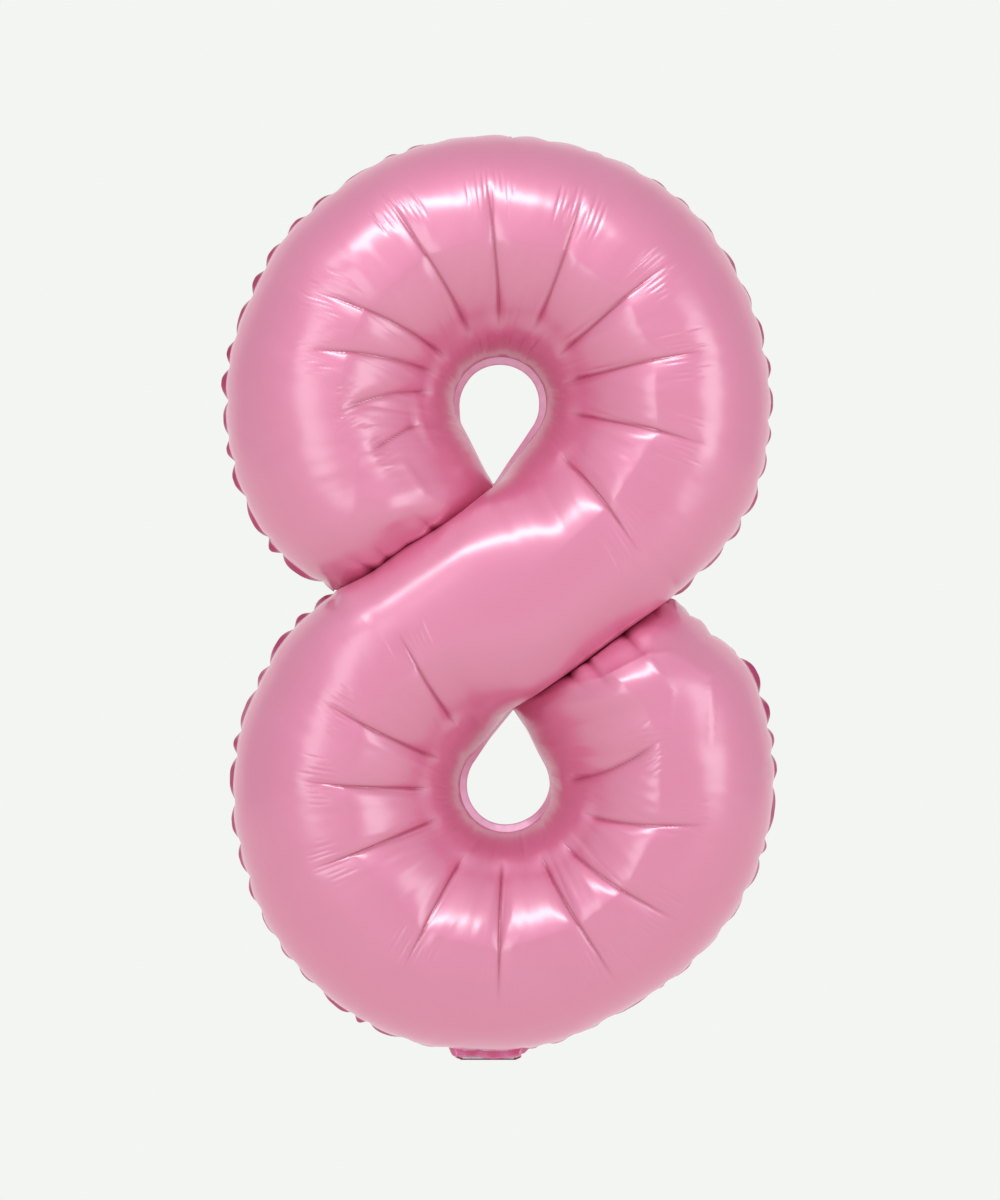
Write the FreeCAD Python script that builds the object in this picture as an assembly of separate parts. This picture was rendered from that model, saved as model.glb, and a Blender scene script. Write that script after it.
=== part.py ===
"""Foil number balloon, the digit 8.

The balloon is one S-shaped air tube that crosses itself at the waist. Two films are sealed to each other
along a hem round the outside, a hem round each hole and a weld where each lobe's end meets the diagonal.
Millimetres, +Z up, the front faces -Y. The origin is the middle of the inflation tail's root line, where a
ribbon is tied. Film and hem thicknesses are about ten times the real ones, so that every piece is a solid.
"""

import FreeCAD, Part
import math
import os

# Outline in the seam plane, as (x, z): the film's edge is a circle round each loop, drawn in at the waist.
upper_centre = (9.0, 605.0)
lower_centre = (15.0, 258.0)
upper_radius = 251.0
lower_radius = 248.0
left_notch = (-147.0, 436.0)
right_notch = (172.0, 436.0)
notch_pull = math.radians(55.0)

# Holes: a circle drawn out to a point that faces the waist.
upper_hole = (11.0, 612.0)
lower_hole = (16.5, 255.0)
upper_tip = (5.0, 533.0)
lower_tip = (24.0, 330.0)
hole_film_radius = 43.0

# Sealed margins.
seal = 7.5
seal_overlap = 2.0
hem_half = 0.5
weld_half = 3.5
weld_gap = 3.0
rim_clearance = 0.02

# Inflated section.
film = 0.5
loop_depth = 95.0
waist_depth = 88.0
end_round = 85.0
end_steps = 8
loop_steps = 26
cross_steps = 9
section_steps = 12
crossing_share = 0.38
side_turn = math.radians(62.0)

# Inflation tail and valve.
tail_width = 62.0
tail_length = 60.0
tail_start = 1.4
leaf = 0.5
leaf_inner = 0.2
lip_bottom = 0.6
lip_height = 12.0
rest_fold = 95.0
corner_radius = 8.0
valve_width = 48.0
valve_length = 120.0
valve_inner = 0.2
valve_clearance = 0.3
strip_width = 40.0
strip_low = 2.0
strip_high = 16.0
strip_half = 0.15

# Hanging tab at the top.
tab_width = 26.0
tab_length = 20.0
tab_corner = 5.0
tab_hole_radius = 2.5
tab_hole_place = 11.0
tab_gap = 0.6

full_turn = 2.0 * math.pi


def blend(a, b, t):
    return (a[0] + (b[0] - a[0]) * t, a[1] + (b[1] - a[1]) * t)


def distance(a, b):
    return math.hypot(b[0] - a[0], b[1] - a[1])


def angle_of(centre, point):
    return math.atan2(point[1] - centre[1], point[0] - centre[0]) % full_turn


def smooth(t):
    t = min(1.0, max(0.0, t))
    return t * t * (3.0 - 2.0 * t)


def moved_out(point, margin):
    """A notch point moved out of the balloon sideways."""
    side = 1.0 if point[0] > lower_centre[0] else -1.0
    return (point[0] + side * margin, point[1])


def loop_point(centre, radius, t, margin=0.0):
    """Fraction t round a loop's outside from the left notch to the right one, past the far end of the 8."""
    first = moved_out(left_notch, margin)
    last = moved_out(right_notch, margin)
    start = angle_of(centre, first)
    end = angle_of(centre, last)
    if centre[1] > first[1]:
        end = end - full_turn
    else:
        end = end + full_turn
    theta = start + (end - start) * t
    r = radius + margin
    r = r + (distance(centre, first) - radius - margin) * smooth(1.0 - abs(theta - start) / notch_pull)
    r = r + (distance(centre, last) - radius - margin) * smooth(1.0 - abs(theta - end) / notch_pull)
    return (centre[0] + r * math.cos(theta), centre[1] + r * math.sin(theta))


def drop_point(centre, radius, tip, turn):
    """The edge of a drawn-out hole, turn radians round its centre from the tip."""
    half = math.acos(radius / distance(centre, tip))
    off = abs(math.remainder(turn, full_turn))
    r = radius / math.cos(max(0.0, half - off))
    theta = angle_of(centre, tip) + turn
    return (centre[0] + r * math.cos(theta), centre[1] + r * math.sin(theta))


def weld_point(tip, notch, side, t):
    """A point on a weld line, moved side towards the diagonal."""
    x, z = blend(tip, notch, t)
    length = distance(tip, notch)
    return (x - (notch[1] - tip[1]) / length * side, z + (notch[0] - tip[0]) / length * side)


def lobe_pairs(centre, radius, hole, tip, from_right):
    """Outer and inner edge points of one loop, from its lobe's end clockwise to the start of the diagonal."""
    path = 0.5 * (radius + hole_film_radius) * 1.5 * math.pi
    gap_share = weld_gap / path
    round_share = end_round / path
    shares = []
    for k in range(end_steps + 1):
        shares.append(gap_share + round_share * (1.0 - math.cos(0.5 * math.pi * k / end_steps)))
    last = shares[-1]
    for k in range(1, loop_steps + 1):
        shares.append(last + (1.0 - last) * k / loop_steps)
    pairs = []
    for t in shares:
        outer = loop_point(centre, radius, 1.0 - t if from_right else t)
        inner = drop_point(hole, hole_film_radius, tip, -(full_turn - side_turn) * t)
        pairs.append((outer, inner))
    return pairs


def diagonal_edge(hole, tip, notch, s):
    """One edge of the diagonal at fraction s: down a hole's side to its tip, then along the weld."""
    if s < crossing_share:
        turn = -(full_turn - side_turn * (1.0 - s / crossing_share))
        return drop_point(hole, hole_film_radius, tip, turn)
    along = (s - crossing_share) / (1.0 - crossing_share)
    return weld_point(tip, notch, weld_gap * smooth(4.0 * along), along)


def tube_pairs():
    """Left and right edge points of the whole S, from the upper lobe's end to the lower one's."""
    upper = lobe_pairs(upper_centre, upper_radius, upper_hole, upper_tip, False)
    lower = lobe_pairs(lower_centre, lower_radius, lower_hole, lower_tip, True)
    middle = []
    for k in range(1, cross_steps):
        s = k / cross_steps
        left = diagonal_edge(lower_hole, lower_tip, right_notch, 1.0 - s)
        right = diagonal_edge(upper_hole, upper_tip, left_notch, s)
        middle.append((left, right))
    back = [(inner, outer) for outer, inner in reversed(lower)]
    return upper + middle + back


def path_lengths(pairs):
    """Distance along the S's middle line at each station."""
    lengths = [0.0]
    for k in range(1, len(pairs)):
        lengths.append(lengths[-1] + distance(blend(*pairs[k - 1], 0.5), blend(*pairs[k], 0.5)))
    return lengths


def end_profile(d):
    """Height share at distance d from a lobe's end: a quarter ellipse."""
    t = min(1.0, max(0.0, d / end_round))
    return math.sqrt(max(0.0, 1.0 - (1.0 - t) ** 2))


def film_grid(pairs, inset, side):
    """Points of one film surface: half ellipses across the tube, inset by the film's thickness inside."""
    lengths = path_lengths(pairs)
    total = lengths[-1]
    grid = []
    for k, (left, right) in enumerate(pairs):
        width = distance(left, right)
        near_end = min(lengths[k], total - lengths[k])
        towards = 1.0 if lengths[k] < 0.5 * total else -1.0
        across = ((right[0] - left[0]) / width, (right[1] - left[1]) / width)
        along = (across[1] * towards, -across[0] * towards)
        push = inset * (1.0 - end_profile(near_end))
        waist = smooth(1.0 - abs(lengths[k] - 0.5 * total) / (1.2 * upper_radius))
        depth = loop_depth + (waist_depth - loop_depth) * waist
        depth = (depth - inset) * end_profile(near_end)
        row = []
        for j in range(section_steps + 1):
            phi = math.pi * j / section_steps
            reach = 0.5 * width - (0.5 * width - inset) * math.cos(phi)
            x = left[0] + across[0] * reach + along[0] * push
            z = left[1] + across[1] * reach + along[1] * push
            row.append(FreeCAD.Vector(x, side * (hem_half + rim_clearance + depth * math.sin(phi)), z))
        grid.append(row)
    return grid


def spline_face(grid):
    surface = Part.BSplineSurface()
    surface.interpolate(grid)
    return surface.toShape()


def film_solid(pairs, side):
    """One film: an outer and an inner surface joined by a flat rim that lies on the hems and welds."""
    outer = spline_face(film_grid(pairs, 0.0, side))
    inner = spline_face(film_grid(pairs, film, side))
    rim = [Part.makeRuledSurface(a, b) for a, b in zip(outer.Edges, inner.Edges)]
    shell = Part.makeCompound([outer, inner] + rim)
    shell.sewShape(0.001)
    solid = Part.makeSolid(Part.Shell(shell.Faces))
    if solid.Volume < 0.0:
        solid.reverse()
    return solid


def plate(wire, low_y, high_y):
    """A flat plate from a closed wire in the seam plane."""
    face = Part.Face(wire)
    face.translate(FreeCAD.Vector(0.0, low_y, 0.0))
    return face.extrude(FreeCAD.Vector(0.0, high_y - low_y, 0.0))


def curve_edge(points):
    curve = Part.BSplineCurve()
    curve.interpolate([FreeCAD.Vector(x, 0.0, z) for x, z in points])
    return curve.toShape()


def outline_wire(margin, steps=48):
    """The 8's outside, moved out by margin."""
    upper = [loop_point(upper_centre, upper_radius, k / steps, margin) for k in range(steps + 1)]
    lower = [loop_point(lower_centre, lower_radius, k / steps, margin) for k in range(steps + 1)]
    return Part.Wire([curve_edge(upper), curve_edge(lower[::-1])])


def drop_wire(hole, tip, margin):
    """A drawn-out hole's edge, moved into the hole by margin: an arc and two tangent lines."""
    radius = hole_film_radius - margin
    film_reach = distance(hole, tip)
    reach = film_reach * radius / hole_film_radius
    point = blend(hole, tip, reach / film_reach)
    half = math.acos(radius / reach)
    base = angle_of(hole, tip)
    ends = []
    for turn in (half, math.pi, -half):
        a = base + turn
        ends.append(FreeCAD.Vector(hole[0] + radius * math.cos(a), 0.0, hole[1] + radius * math.sin(a)))
    tip_point = FreeCAD.Vector(point[0], 0.0, point[1])
    arc = Part.Arc(ends[0], ends[1], ends[2]).toShape()
    return Part.Wire([arc, Part.makeLine(ends[2], tip_point), Part.makeLine(tip_point, ends[0])])


def hole_hem(hole, tip):
    ring = plate(drop_wire(hole, tip, -seal_overlap), -hem_half, hem_half)
    return ring.cut(plate(drop_wire(hole, tip, seal), -2.0 * hem_half, 2.0 * hem_half))


def box(x0, x1, y0, y1, z0, z1):
    return Part.makeBox(x1 - x0, y1 - y0, z1 - z0, FreeCAD.Vector(x0, y0, z0))


def outer_hem():
    """The band round the outside, with the lip that carries the tail and the way through for the valve."""
    band = plate(outline_wire(seal), -hem_half, hem_half)
    half = 0.5 * tail_width
    band = band.fuse(box(-half, half, -hem_half, hem_half, lip_bottom, lip_height))
    band = band.cut(plate(outline_wire(-seal_overlap), -2.0 * hem_half, 2.0 * hem_half))
    way = 0.5 * valve_width + valve_clearance
    return band.cut(box(-way, way, -1.0, 1.0, -1.0, 2.0 * lip_height)).removeSplitter()


def weld_strip(tip, notch, hems):
    """The sealed line from a hole's hem to the outer hem."""
    length = distance(tip, notch)
    angle = math.degrees(math.atan2(notch[1] - tip[1], notch[0] - tip[0]))
    strip = box(-seal, length + seal, -hem_half, hem_half, -weld_half, weld_half)
    strip.rotate(FreeCAD.Vector(0, 0, 0), FreeCAD.Vector(0, 1, 0), -angle)
    strip.translate(FreeCAD.Vector(tip[0], 0.0, tip[1]))
    for hem in hems:
        strip = strip.cut(hem)
    pieces = sorted(strip.Solids, key=lambda s: s.Volume)
    return pieces[-1]


def rounded_leaf(width, start, length, corner, low_y, high_y):
    """A flat leaf that hangs down from the root line, with its two lower corners rounded."""
    solid = box(-0.5 * width, 0.5 * width, low_y, high_y, -length, -start)
    lower = [e for e in solid.Edges if max(v.Z for v in e.Vertexes) < -length + 1e-6]
    upright = [e for e in lower if abs(e.Vertexes[0].Y - e.Vertexes[1].Y) > 1e-6]
    return solid.makeFillet(corner, upright)


def tail_leaf(low_y, high_y):
    solid = rounded_leaf(tail_width, tail_start, tail_length, corner_radius, low_y, high_y)
    solid.rotate(FreeCAD.Vector(0, 0, 0), FreeCAD.Vector(1, 0, 0), rest_fold)
    return solid


def hanging_tab():
    """A punched tab hinged at the top of the upper loop, folded down behind it."""
    tab = rounded_leaf(tab_width, tail_start, tab_length, tab_corner, -hem_half, hem_half)
    punch = Part.makeCylinder(
        tab_hole_radius, 4.0, FreeCAD.Vector(0.0, -2.0, -tab_hole_place), FreeCAD.Vector(0, 1, 0)
    )
    tab = tab.cut(punch)
    tab.rotate(FreeCAD.Vector(0, 0, 0), FreeCAD.Vector(1, 0, 0), 180.0 - rest_fold)
    tab.translate(FreeCAD.Vector(upper_centre[0], 0.0, upper_centre[1] + upper_radius + seal + tab_gap))
    return tab


def build():
    pairs = tube_pairs()
    parts = {}
    parts["front_film"] = film_solid(pairs, -1.0)
    parts["back_film"] = film_solid(pairs, 1.0)
    parts["outer_seam_hem"] = outer_hem()
    parts["upper_hole_hem"] = hole_hem(upper_hole, upper_tip)
    parts["lower_hole_hem"] = hole_hem(lower_hole, lower_tip)
    hems = [parts["outer_seam_hem"], parts["upper_hole_hem"], parts["lower_hole_hem"]]
    parts["upper_lobe_weld"] = weld_strip(upper_tip, left_notch, hems)
    parts["lower_lobe_weld"] = weld_strip(lower_tip, right_notch, hems)
    parts["tail_front_leaf"] = tail_leaf(-leaf_inner - leaf, -leaf_inner)
    parts["tail_back_leaf"] = tail_leaf(leaf_inner, leaf_inner + leaf)
    half = 0.5 * valve_width
    parts["valve_front_film"] = box(-half, half, -hem_half, -valve_inner, lip_bottom, valve_length)
    parts["valve_back_film"] = box(-half, half, valve_inner, hem_half, lip_bottom, valve_length)
    half = 0.5 * strip_width
    parts["valve_release_strip"] = box(-half, half, -strip_half, strip_half, strip_low, strip_high)
    parts["hanging_tab"] = hanging_tab()
    return parts


def main():
    os.makedirs("parts", exist_ok=True)
    for name, shape in build().items():
        shape.exportStep("parts/" + name + ".step")
        b = shape.BoundBox
        print(
            f"{name}: solids {len(shape.Solids)} valid {shape.isValid()} closed {shape.isClosed()}"
            f" volume {shape.Volume:.1f} x {b.XMin:.1f}..{b.XMax:.1f} y {b.YMin:.1f}..{b.YMax:.1f}"
            f" z {b.ZMin:.1f}..{b.ZMax:.1f}"
        )


main()
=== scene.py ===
import math
import bpy
import numpy as np
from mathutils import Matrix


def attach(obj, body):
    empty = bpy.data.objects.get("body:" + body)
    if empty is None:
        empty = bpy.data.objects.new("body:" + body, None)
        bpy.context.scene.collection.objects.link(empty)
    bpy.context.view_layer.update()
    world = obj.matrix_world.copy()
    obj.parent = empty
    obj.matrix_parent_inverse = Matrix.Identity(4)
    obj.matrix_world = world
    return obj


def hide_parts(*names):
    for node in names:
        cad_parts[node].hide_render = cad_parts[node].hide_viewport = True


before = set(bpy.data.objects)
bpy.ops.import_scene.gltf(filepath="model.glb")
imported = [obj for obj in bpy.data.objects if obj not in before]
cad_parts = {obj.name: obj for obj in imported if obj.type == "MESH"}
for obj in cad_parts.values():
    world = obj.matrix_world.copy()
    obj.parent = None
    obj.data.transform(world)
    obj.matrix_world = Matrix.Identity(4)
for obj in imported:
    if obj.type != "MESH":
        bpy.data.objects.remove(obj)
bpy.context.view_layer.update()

# the digit's outline in the seam plane, in metres, as (x, z)
digit = {
    "upperCentre": (0.009, 0.605), "upperRadius": 0.251,
    "lowerCentre": (0.015, 0.258), "lowerRadius": 0.248,
    "leftNotch": (-0.139, 0.438), "rightNotch": (0.1685, 0.430),
    "lobeReach": math.radians(24), "diagonalReach": math.radians(36),
    "upperHole": (0.011, 0.612), "upperTip": (0.005, 0.533),
    "lowerHole": (0.0165, 0.255), "lowerTip": (0.024, 0.330),
    # how much fuller or flatter than its circle each loop is: (bearing in degrees, mm)
    "upperSwell": [(-50, 0), (-30, 3.5), (-10, 1.5), (12, 3.5), (30, 5.5), (45, 9.0), (60, 7.0), (80, 5.5),
                   (100, 6.0), (112, 6.0), (128, 3.0), (142, 5.0), (155, 2.0), (172, 3.5), (188, 1.0),
                   (200, -2.0), (206, -4.0), (214, 1.0), (222, 6.0), (230, 0)],
    "lowerSwell": [(126, 0), (146, 4.0), (158, 0), (170, 4.0), (185, 5.0), (200, 6.5), (214, 9.5), (226, 9.5),
                   (240, 10.0), (254, 7.0), (263, 2.6), (272, 0.6), (284, -2.4), (292, -8.0), (304, -9.5),
                   (312, -7.5), (322, -5.5), (332, -1.5), (344, 1.5), (356, 2.5), (372, 4.5), (386, 4.5),
                   (394, -2.0), (404, 2.5), (412, 0)],
    "holeRadius": 0.043, "sideTurn": math.radians(62), "crossingShare": 0.38,
    "weldGap": 0.0016, "seamGap": 0.0004, "runAhead": 0.06,
}
tube = {
    "loopDepth": 0.090, "waistDepth": 0.088, "waistReach": 0.30, "endLength": 0.056, "endGap": 0.0035,
    # exponents of the superellipses: 2 is an ellipse, more is boxier
    "endSquare": 2.6, "plainSquare": 2.1, "holeSquare": 1.40, "weldSquare": 3.0,
    "endStations": 90, "edgeBlur": 22,
    # how far the touching walls lean past each weld, from the hole's tip (0) to the notch (1), in mm
    "upperLean": [(0, -1.5), (0.2, 3.5), (0.36, 5.0), (0.57, 1.5), (0.8, 5.5), (1, 0)],
    "lowerLean": [(0, -3.0), (0.25, -3.2), (0.5, -3.0), (0.72, -1.0), (1, 0)],
    "lobeLean": 0.050, "diagonalLean": 0.018, "leanRise": 0.030, "leanBlur": 10,
    "touch": 0.0085, "touchWidth": 0.030, "touchGap": 0.0003,
}


def smooth(t):  # 3t^2 - 2t^3 between 0 and 1
    t = np.clip(t, 0.0, 1.0)
    return t * t * (3.0 - 2.0 * t)


def bearing(centre, point):  # angle of a point about a centre, 0 to 2 pi
    return math.atan2(point[1] - centre[1], point[0] - centre[0]) % (2 * math.pi)


def softened(rows, width):  # each row becomes the mean of its neighbours under a bell curve
    reach = int(3 * width) + 1
    k = np.exp(-0.5 * (np.arange(-reach, reach + 1) / width) ** 2)
    padded = np.concatenate([2 * rows[:1] - rows[reach:0:-1], rows, 2 * rows[-1:] - rows[-2:-reach - 2:-1]])
    return np.stack([np.convolve(padded[:, c], k / k.sum(), "valid") for c in range(rows.shape[1])], 1)


def runLength(points):  # distance along a row of points from its first
    steps = np.linalg.norm(np.diff(points, axis=0), axis=1)
    return np.concatenate([[0.0], np.cumsum(steps)])


def noiseField(shape, cells, seed):  # random values on a coarse grid, blended smoothly between its knots
    knots = np.random.default_rng(seed).uniform(-1, 1, (cells[0] + 2, cells[1] + 2))
    a = np.linspace(0, cells[0], shape[0])
    b = np.linspace(0, cells[1], shape[1])
    i, j = a.astype(int), b.astype(int)
    f, g = smooth(a - i)[:, None], smooth(b - j)[None, :]
    low = knots[i][:, j] * (1 - g) + knots[i][:, j + 1] * g
    high = knots[i + 1][:, j] * (1 - g) + knots[i + 1][:, j + 1] * g
    return low * (1 - f) + high * f


def loopEdge(centre, radius, t):
    # a circle from the left notch to the right one past the loop's far side: its radius, plus a smooth step to the
    # notch's own distance near each notch, plus the swell at that bearing
    start, end = bearing(centre, digit["leftNotch"]), bearing(centre, digit["rightNotch"])
    upper = centre[1] > digit["leftNotch"][1]
    end = end - 2 * math.pi if upper else end + 2 * math.pi
    first, last = digit["lobeReach"], digit["diagonalReach"]
    if not upper:
        first, last = last, first
    theta = start + (end - start) * t
    r = radius + (math.dist(centre, digit["leftNotch"]) - radius) * smooth(1 - abs(theta - start) / first)
    r = r + (math.dist(centre, digit["rightNotch"]) - radius) * smooth(1 - abs(theta - end) / last)
    bearings, swell = np.array(digit["upperSwell" if upper else "lowerSwell"]).T
    r = r + np.interp(np.degrees(theta), bearings, swell / 1000)
    return np.stack([centre[0] + r * np.cos(theta), centre[1] + r * np.sin(theta)], 1)


def dropEdge(hole, radius, tip, turn):
    # a circle joined to its tip by two tangent lines: past the tangent points the radius stays the same, and
    # nearer to the tip it is the radius over the cosine of the angle left to the tangent point
    half = math.acos(digit["holeRadius"] / math.dist(hole, tip))
    off = np.abs((turn + math.pi) % (2 * math.pi) - math.pi)
    r = radius / np.cos(np.maximum(0.0, half - off))
    theta = bearing(hole, tip) + turn
    return np.stack([hole[0] + r * np.cos(theta), hole[1] + r * np.sin(theta)], 1)


def weldEdge(tip, notch, side, t):  # a straight line from a hole's tip to a notch, moved sideways
    tip, notch = np.array(tip), np.array(notch)
    along = (notch - tip) / np.linalg.norm(notch - tip)
    return tip + (notch - tip) * t[:, None] + np.array([-along[1], along[0]]) * side[:, None]


def diagonalEdge(hole, tip, notch, s):  # down a hole's side to its tip, then along the weld
    share = digit["crossingShare"]
    drop = dropEdge(hole, digit["holeRadius"], tip, digit["sideTurn"] * (1 - s / share) - 2 * math.pi)
    along = np.clip((s - share) / (1 - share), 0, 1)
    weld = weldEdge(tip, notch, digit["weldGap"] * smooth(4 * along), along)
    return np.where((s < share)[:, None], drop, weld)


def lobeEdges(name, t):  # outer and inner edge of one loop, from its lobe's end to the diagonal
    centre, hole, tip = digit[name + "Centre"], digit[name + "Hole"], digit[name + "Tip"]
    outer = loopEdge(centre, digit[name + "Radius"], t if name == "upper" else 1 - t)
    turn = 2 * math.pi - digit["sideTurn"]
    # the inner edge runs ahead by a squared sine, so creases fan outwards
    early = digit["runAhead"] * np.sin(np.pi * np.clip(t, 0, 1)) ** 2
    inner = dropEdge(hole, digit["holeRadius"], tip, -turn * (t + early))
    return outer, inner


def tubeEdges(count):
    # left and right edges of the whole S: u is 0 to 1 on the upper loop, 1 to 2 on the diagonal and 2 to 3 on the
    # lower loop, then stations are spread evenly along the middle line, with squared steps at both ends
    u = np.linspace(0, 3, 6000)
    gap = tube["endGap"]
    first = lobeEdges("upper", gap + (1 - gap) * np.clip(u, 0, 1))
    last = lobeEdges("lower", gap + (1 - gap) * np.clip(3 - u, 0, 1))
    s = np.clip(u - 1, 0, 1)
    midLeft = diagonalEdge(digit["lowerHole"], digit["lowerTip"], digit["rightNotch"], 1 - s)
    midRight = diagonalEdge(digit["upperHole"], digit["upperTip"], digit["leftNotch"], s)
    left = np.where((u < 1)[:, None], first[0], np.where((u < 2)[:, None], midLeft, last[1]))
    right = np.where((u < 1)[:, None], first[1], np.where((u < 2)[:, None], midRight, last[0]))
    left, right = softened(left, tube["edgeBlur"]), softened(right, tube["edgeBlur"])
    length = runLength(0.5 * (left + right))
    ends = tube["endLength"] * np.linspace(0, 1, tube["endStations"]) ** 2
    body = np.linspace(ends[-1], length[-1] - ends[-1], count - 2 * len(ends) + 2)
    even = np.concatenate([ends, body[1:-1], length[-1] - ends[::-1]])
    left, right = (np.stack([np.interp(even, length, rows[:, c]) for c in range(2)], 1) for rows in (left, right))
    return left, right, even, np.interp(even, length, u)


# main creases round each hole: bearing at the hole and at the far end (degrees), near and far ends (mm), depth (mm)
holeCreases = {
    "upper": [(90.5, 93.5, 66, 214, 2.4), (64, 68, 70, 206, 2.2), (38, 39, 66, 201, 2.6),
              (16, 13, 60, 199, 2.4), (-10, -13, 62, 196, 2.6), (-42, -48, 74, 190, 2.4),
              (114, 120, 64, 220, 2.6), (141, 151, 60, 205, 2.6), (156, 167, 60, 190, 2.4),
              (172, 186, 62, 152, 2.2), (196, 203, 76, 128, 1.4)],
    "lower": [(128, 124, 74, 176, 2.4), (157, 154, 66, 190, 2.8), (180, 177, 70, 192, 2.6),
              (204, 202, 66, 194, 2.8), (238, 240, 70, 188, 2.6), (267, 268, 66, 196, 2.6),
              (297, 300, 68, 202, 2.8), (316, 323, 72, 196, 2.8), (342, 351, 74, 187, 2.8),
              (6, 19, 54, 150, 2.8)],
}
folds = {
    "sharpWidth": 0.0011, "broadWidth": 0.0085, "broadShare": 0.42, "pillow": 0.0024, "pillowWidth": 0.014,
    "wander": 0.006,
    "combCount": 9, "combPitch": 0.0046, "combDepth": 0.00050, "combWidth": 0.0011, "combSpread": 0.018,
    "puckerPitch": 0.033, "puckerDepth": 0.0020, "puckerLength": 0.015, "puckerWidth": 0.0016,
    "cusp": 0.0021, "cuspWidth": 0.0042, "cuspReach": 0.016, "outwardBlur": 14,
    "gatherPitch": 0.027, "gatherDepth": 0.0024, "gatherLength": 0.010, "lobeWidth": 0.19,
    "facet": 0.85, "facetEdge": 0.60, "ridgeWidth": 0.004, "swell": 0.0007, "calm": 0.92, "seed": 8,
}
# taut ridges in the lobes' ends: two (x, z) points in mm, height in mm
ridges = [((144, 379), (72, 345), 1.1), ((144, 379), (166, 346), 1.3), ((144, 379), (167, 381), 0.9),
          ((166, 346), (161, 305), 0.9), ((167, 381), (203, 359), 0.7), ((203, 359), (203, 296), 0.8),
          ((203, 359), (224, 371), 0.6), ((144, 379), (157, 402), 0.6), ((-79, 556), (-60, 529), 1.0),
          ((-60, 529), (-20, 512), 0.6), ((-118, 560), (-120, 512), 0.5), ((-120, 512), (-150, 480), 0.5)]


def valley(d, width):  # a narrow valley with a pointed bottom: e to the minus distance
    return np.exp(-np.abs(d) / width)


def creaseField(plan, hole, creases, mask, seed):
    # each crease is a pointed valley inside a rounded one, along a line that fans out from the hole;
    # short fine wrinkles lie beside its far end, and the film swells like a pillow between two creases
    rng = np.random.default_rng(seed)
    dx, dz = plan[..., 0] - hole[0], plan[..., 1] - hole[1]
    reach, angle = np.hypot(dx, dz), np.arctan2(dz, dx)
    height, sharp, comb = np.zeros(reach.shape), np.zeros(reach.shape), np.zeros(reach.shape)
    for inner, outer, near, far, depth in creases:
        near, far, depth = near / 1000, far / 1000, depth / 1000
        along = (reach - near) / (far - near)
        bend = rng.uniform(-folds["wander"], folds["wander"]) * np.sin(np.pi * np.clip(along, 0, 1))
        line = np.radians(inner + (outer - inner) * along) + bend
        d = reach * ((angle - line + np.pi) % (2 * np.pi) - np.pi)
        fade = smooth(along * 8 + 0.2) * smooth((1.03 - along) * 2.6)
        line = fade * valley(d, folds["sharpWidth"])
        wide = folds["broadWidth"] * (0.45 + 0.8 * np.clip(along, 0, 1.1))
        rounded = fade * np.exp(-(d / wide) ** 2)
        height -= depth * ((1 - folds["broadShare"]) * line + folds["broadShare"] * rounded)
        height -= folds["pillow"] * fade * valley(d, folds["pillowWidth"])
        # the crease line's mask, for the painted shade the material puts in the crease
        sharp = np.maximum(sharp, line)
        beside = np.exp(-(d / folds["combSpread"]) ** 2)
        comb = np.maximum(comb, beside * window(along, 0.62, 0.2, 1.08, 0.12))
        for k in range(folds["combCount"]):
            aside = (k + 0.7 + rng.uniform(0, 0.5)) * folds["combPitch"] * (1 if k % 2 else -1) * 0.5
            start, stop = rng.uniform(0.62, 0.80), rng.uniform(0.88, 1.04)
            e = d - aside * (0.75 + 0.4 * along)
            some = window(along, start, 0.08, stop, 0.08) * rng.uniform(0.5, 1.3)
            height -= folds["combDepth"] * some * np.exp(-(e / folds["combWidth"]) ** 2)
    return height * mask, sharp * mask, comb * mask


def puckerPlaces(length, pitch, seed):  # even steps along a seam, each moved by up to 0.3 of a step
    rng = np.random.default_rng(seed)
    count = max(2, int(length / pitch))
    places = (np.arange(count) + 0.5 + rng.uniform(-0.30, 0.30, count)) * length / count
    return places, rng.uniform(0.45, 1.25, count), rng


def seamPuckers(seam, toSeam, pitch, depth, reach, seed, mask):
    # short pointed folds that run in from a seam, fading as a bell curve of the distance from it, with a low swell
    # half-way to the next one: seam is the distance along the seam, toSeam the distance from it
    places, strengths, rng = puckerPlaces(float(seam.max()), pitch, seed)
    height, sharp = np.zeros(toSeam.shape), np.zeros(toSeam.shape)
    for place, strength in zip(places, strengths):
        stretch, lean = rng.uniform(0.5, 1.7) * strength, rng.uniform(-0.30, 0.30)
        d = seam[:, None] - place + lean * toSeam
        fade = np.exp(-(toSeam / (reach * stretch)) ** 2)
        wide = folds["puckerWidth"] * (1 + toSeam / 0.02)
        height -= depth * strength * fade * (0.6 * valley(d, wide) + 0.4 * np.exp(-(d / (3.2 * wide)) ** 2))
        height += 0.30 * depth * fade * np.exp(-((np.abs(d) - 0.42 * pitch) / (0.3 * pitch)) ** 2)
        # the pucker's line mask, for the painted shade the material puts in the pucker
        sharp = np.maximum(sharp, strength * fade * valley(d, 0.8 * wide))
    return height * mask, sharp * mask


def seamCusps(run, seed, mask):  # how far the seam is drawn in at each pucker, as a pointed dip
    places, strengths, _ = puckerPlaces(float(run.max()), folds["puckerPitch"], seed)
    dip = (strengths * valley(run[:, None] - places[None], folds["cuspWidth"])).max(1)
    return folds["cusp"] * dip * mask


def lineRidges(plan):  # pointed ridges along straight lines, fading at both ends
    height = np.zeros(plan.shape[:2])
    for a, b, tall in ridges:
        a, b = np.array(a) / 1000, np.array(b) / 1000
        along = (b - a) / np.linalg.norm(b - a)
        t = ((plan - a) @ along) / np.linalg.norm(b - a)
        d = (plan - a) @ np.array([-along[1], along[0]])
        height += tall / 1000 * window(t, -0.15, 0.3, 1.15, 0.3) * valley(d, folds["ridgeWidth"])
    return height


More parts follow.
